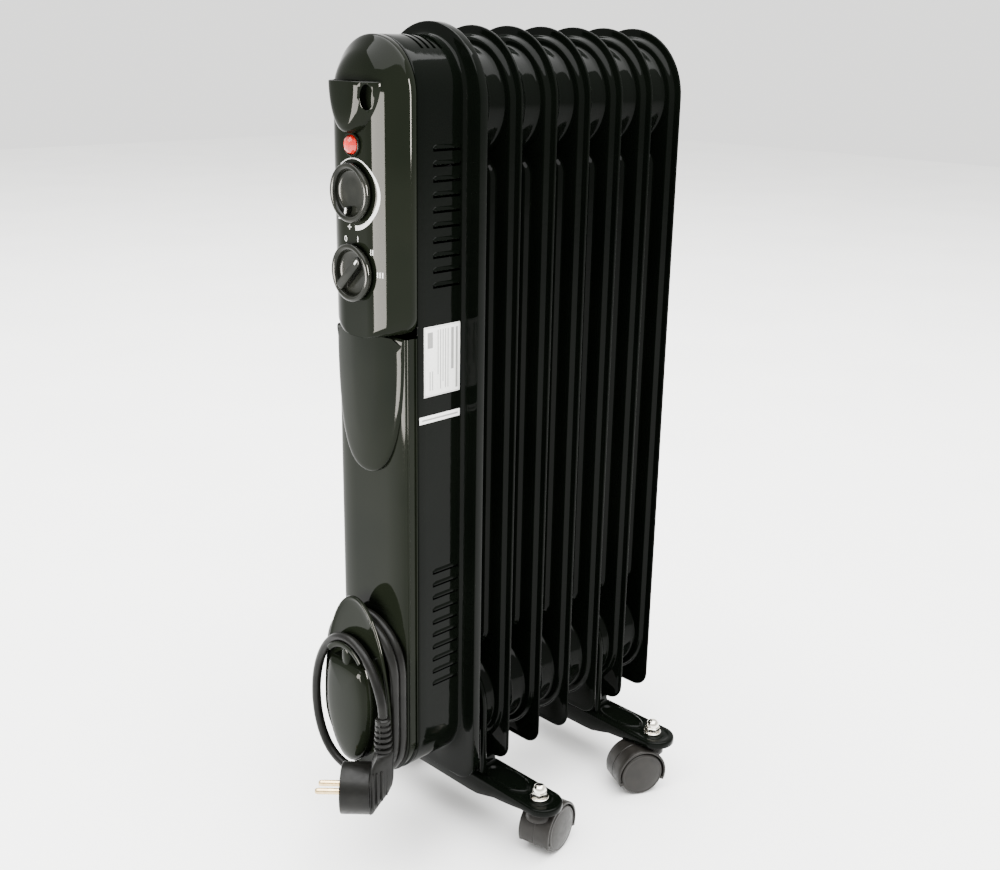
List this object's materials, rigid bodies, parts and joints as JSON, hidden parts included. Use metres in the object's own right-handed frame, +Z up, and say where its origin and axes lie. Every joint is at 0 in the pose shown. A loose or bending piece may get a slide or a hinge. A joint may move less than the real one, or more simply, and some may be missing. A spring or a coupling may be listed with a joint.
{
  "type": "oil filled radiator heater",
  "caption": "free-standing oil filled radiator heater with pressed steel fins, a front control housing, an under-slung cord winder and twin-wheel casters on cross feet",
  "frame": {"origin": "middle of the footprint, on the floor, without the cord", "axes": "+Z up; +X from the control panel towards the last fin; +Y to the left as seen by someone who faces the control panel"},
  "size_m": [0.357, 0.232, 0.642],
  "materials": {
    "enamel": "glossy black stove enamel",
    "gloss_plastic": "high gloss black moulding",
    "knob_plastic": "semi-gloss dark moulding",
    "caster_plastic": "satin grey-brown nylon",
    "cord_vinyl": "soft dark grey vinyl",
    "nickel": "bright nickel plate",
    "pin_brass": "plain turned brass",
    "zinc_steel": "zinc plated",
    "lamp_red": "clear faceted red",
    "moulding": "plain ivory moulding"
  },
  "bodies": {
    "heater": {"fin_1": "enamel", "fin_2": "enamel", "fin_3": "enamel", "fin_4": "enamel", "fin_5": "enamel", "fin_6": "enamel", "fin_7": "enamel", "heating_element": "zinc_steel", "element_flange": "pin_brass", "oil_filler_plug": "zinc_steel", "thermal_cutout": "moulding", "housing_shell": "enamel", "front_panel": "gloss_plastic", "control_cover": "gloss_plastic", "panel_tongue": "gloss_plastic", "handle_cup": "gloss_plastic", "thermostat": "moulding", "mode_switch": "moulding", "lamp_lens": "lamp_red", "lamp_holder": "moulding", "terminal_block": "moulding", "winder_hub": "gloss_plastic", "winder_flange": "gloss_plastic", "winder_dome": "gloss_plastic", "cord_gland": "cord_vinyl", "cord_winding": "cord_vinyl", "cord_lead": "cord_vinyl", "plug_relief": "cord_vinyl", "plug_body": "cord_vinyl", "plug_pin_1": "pin_brass", "plug_pin_2": "pin_brass", "foot_bar_1": "enamel", "foot_u_bolt_1": "enamel", "foot_bar_2": "enamel", "foot_u_bolt_2": "enamel", "wing_nut_1": "zinc_steel", "wing_nut_2": "zinc_steel", "wing_nut_3": "zinc_steel", "wing_nut_4": "zinc_steel", "caster_stem_1": "nickel", "caster_stem_2": "nickel", "caster_stem_3": "nickel", "caster_stem_4": "nickel"},
    "thermostat_dial": {"thermostat_knob": "knob_plastic"},
    "mode_dial": {"mode_knob": "knob_plastic"},
    "caster_1": {"caster_hood_1": "caster_plastic"},
    "wheel_1a": {"caster_wheel_1a": "caster_plastic"},
    "wheel_1b": {"caster_wheel_1b": "caster_plastic"},
    "caster_2": {"caster_hood_2": "caster_plastic"},
    "wheel_2a": {"caster_wheel_2a": "caster_plastic"},
    "wheel_2b": {"caster_wheel_2b": "caster_plastic"},
    "caster_3": {"caster_hood_3": "caster_plastic"},
    "wheel_3a": {"caster_wheel_3a": "caster_plastic"},
    "wheel_3b": {"caster_wheel_3b": "caster_plastic"},
    "caster_4": {"caster_hood_4": "caster_plastic"},
    "wheel_4a": {"caster_wheel_4a": "caster_plastic"},
    "wheel_4b": {"caster_wheel_4b": "caster_plastic"}
  },
  "joints": [
    {"name": "thermostat_turn", "type": "hinge", "parent": "heater", "child": "thermostat_dial", "pos_m": [-0.14625, 0, 0.5295], "axis": [1, 0, 0], "range_deg": [0, 290]},
    {"name": "mode_turn", "type": "hinge", "parent": "heater", "child": "mode_dial", "pos_m": [-0.14625, 0, 0.4747], "axis": [1, 0, 0], "range_deg": [-76, 38]},
    {"name": "caster_swivel_1", "type": "hinge", "parent": "heater", "child": "caster_1", "pos_m": [-0.03817, -0.096, 0.045], "axis": [0, 0, 1], "continuous": true},
    {"name": "wheel_roll_1a", "type": "hinge", "parent": "caster_1", "child": "wheel_1a", "pos_m": [-0.02273, -0.10169, 0.0195], "axis": [-0.1994, 0.9799, 0], "continuous": true},
    {"name": "wheel_roll_1b", "type": "hinge", "parent": "caster_1", "child": "wheel_1b", "pos_m": [-0.02618, -0.08473, 0.0195], "axis": [-0.1994, 0.9799, 0], "continuous": true},
    {"name": "caster_swivel_2", "type": "hinge", "parent": "heater", "child": "caster_2", "pos_m": [0.10583, -0.096, 0.045], "axis": [0, 0, 1], "continuous": true},
    {"name": "wheel_roll_2a", "type": "hinge", "parent": "caster_2", "child": "wheel_2a", "pos_m": [0.09704, -0.08209, 0.0195], "axis": [-0.4384, -0.8988, 0], "continuous": true},
    {"name": "wheel_roll_2b", "type": "hinge", "parent": "caster_2", "child": "wheel_2b", "pos_m": [0.08945, -0.09764, 0.0195], "axis": [-0.4384, -0.8988, 0], "continuous": true},
    {"name": "caster_swivel_3", "type": "hinge", "parent": "heater", "child": "caster_3", "pos_m": [-0.03817, 0.096, 0.045], "axis": [0, 0, 1], "continuous": true},
    {"name": "wheel_roll_3a", "type": "hinge", "parent": "caster_3", "child": "wheel_3a", "pos_m": [-0.02938, 0.08209, 0.0195], "axis": [0.4384, 0.8988, 0], "continuous": true},
    {"name": "wheel_roll_3b", "type": "hinge", "parent": "caster_3", "child": "wheel_3b", "pos_m": [-0.02179, 0.09764, 0.0195], "axis": [0.4384, 0.8988, 0], "continuous": true},
    {"name": "caster_swivel_4", "type": "hinge", "parent": "heater", "child": "caster_4", "pos_m": [0.10583, 0.096, 0.045], "axis": [0, 0, 1], "continuous": true},
    {"name": "wheel_roll_4a", "type": "hinge", "parent": "caster_4", "child": "wheel_4a", "pos_m": [0.08972, 0.09934, 0.0195], "axis": [0.342, -0.9397, 0], "continuous": true},
    {"name": "wheel_roll_4b", "type": "hinge", "parent": "caster_4", "child": "wheel_4b", "pos_m": [0.09563, 0.08308, 0.0195], "axis": [0.342, -0.9397, 0], "continuous": true}
  ]
}
